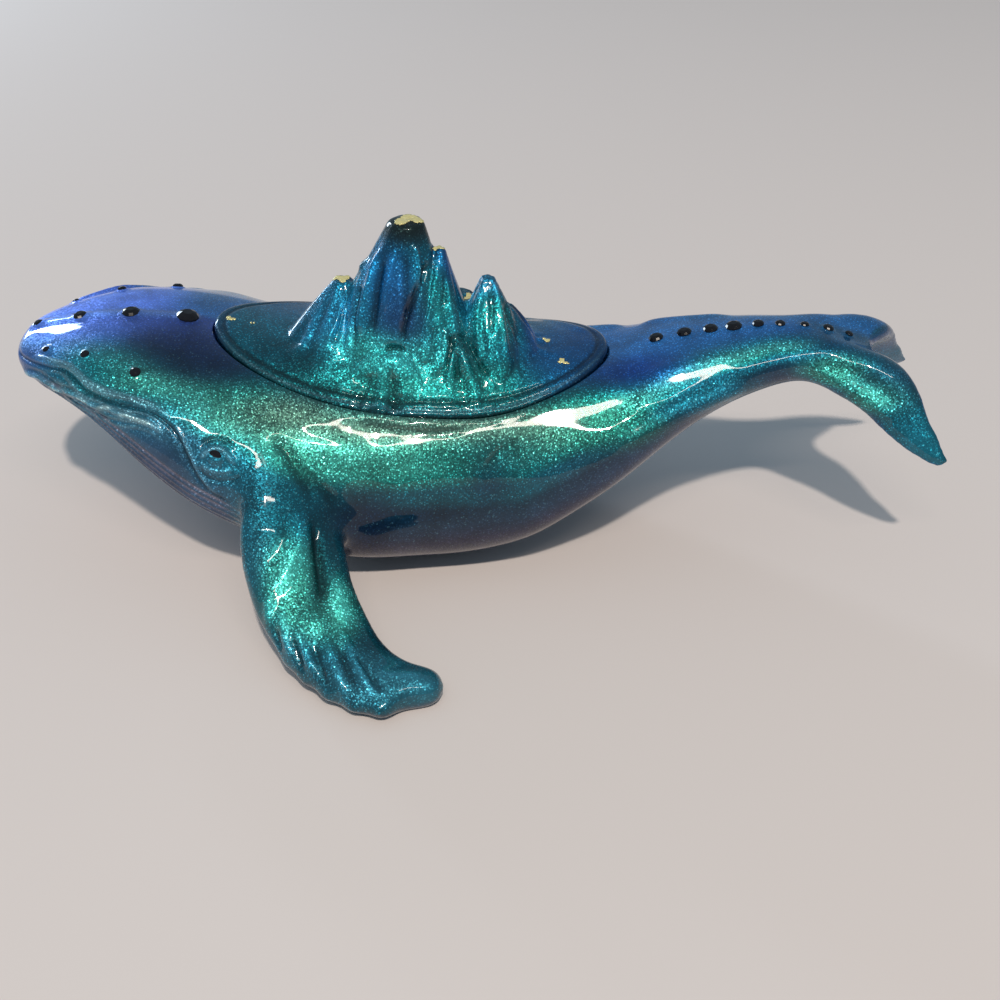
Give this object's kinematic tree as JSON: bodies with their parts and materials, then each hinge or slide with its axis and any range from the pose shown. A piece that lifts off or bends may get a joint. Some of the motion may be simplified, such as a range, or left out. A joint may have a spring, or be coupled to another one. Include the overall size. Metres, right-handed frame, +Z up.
{
  "type": "trinket holder",
  "caption": "Whale-shaped trinket holder: a bowl in its back under a lift-off oval lid, whose handle is a small mountain range; it stands on its belly and flipper tips.",
  "frame": {"origin": "the flat of the belly that the holder stands on, below the middle of the lid", "axes": "+X towards the tail, +Z up, Y across the whale, which is alike on both sides of Y = 0"},
  "size_m": [0.2484, 0.1814, 0.0928],
  "materials": {
    "whale_resin": "cast resin with colour-shifting pearl pigment and fine glitter under a glossy clear coat",
    "lid_resin": "cast resin with colour-shifting pearl pigment and fine glitter under a glossy clear coat",
    "black_gem": "faceted, polished",
    "gold_leaf": "crinkled leaf"
  },
  "bodies": {
    "holder": {"whale_body": "whale_resin", "crown_gem_1": "black_gem", "crown_gem_2": "black_gem", "crown_gem_3": "black_gem", "crown_gem_4": "black_gem", "cheek_gem_near_1": "black_gem", "cheek_gem_near_2": "black_gem", "cheek_gem_near_3": "black_gem", "cheek_gem_far_1": "black_gem", "cheek_gem_far_2": "black_gem", "cheek_gem_far_3": "black_gem", "eye_gem_near": "black_gem", "eye_gem_far": "black_gem", "tail_gem_1": "black_gem", "tail_gem_2": "black_gem", "tail_gem_3": "black_gem", "tail_gem_4": "black_gem", "tail_gem_5": "black_gem", "tail_gem_6": "black_gem", "tail_gem_7": "black_gem", "tail_gem_8": "black_gem", "tail_gem_9": "black_gem"},
    "lid": {"mountain_lid": "lid_resin", "plate_flake_1": "gold_leaf", "plate_flake_2": "gold_leaf", "plate_flake_3": "gold_leaf", "plate_flake_4": "gold_leaf", "peak_flake_1": "gold_leaf", "peak_flake_2": "gold_leaf", "peak_flake_3": "gold_leaf", "peak_flake_4": "gold_leaf"}
  },
  "joints": [
    {"name": "lid_lift", "type": "slide", "parent": "holder", "child": "lid", "axis": [0, 0, 1], "range_m": [0, 0.06]}
  ]
}
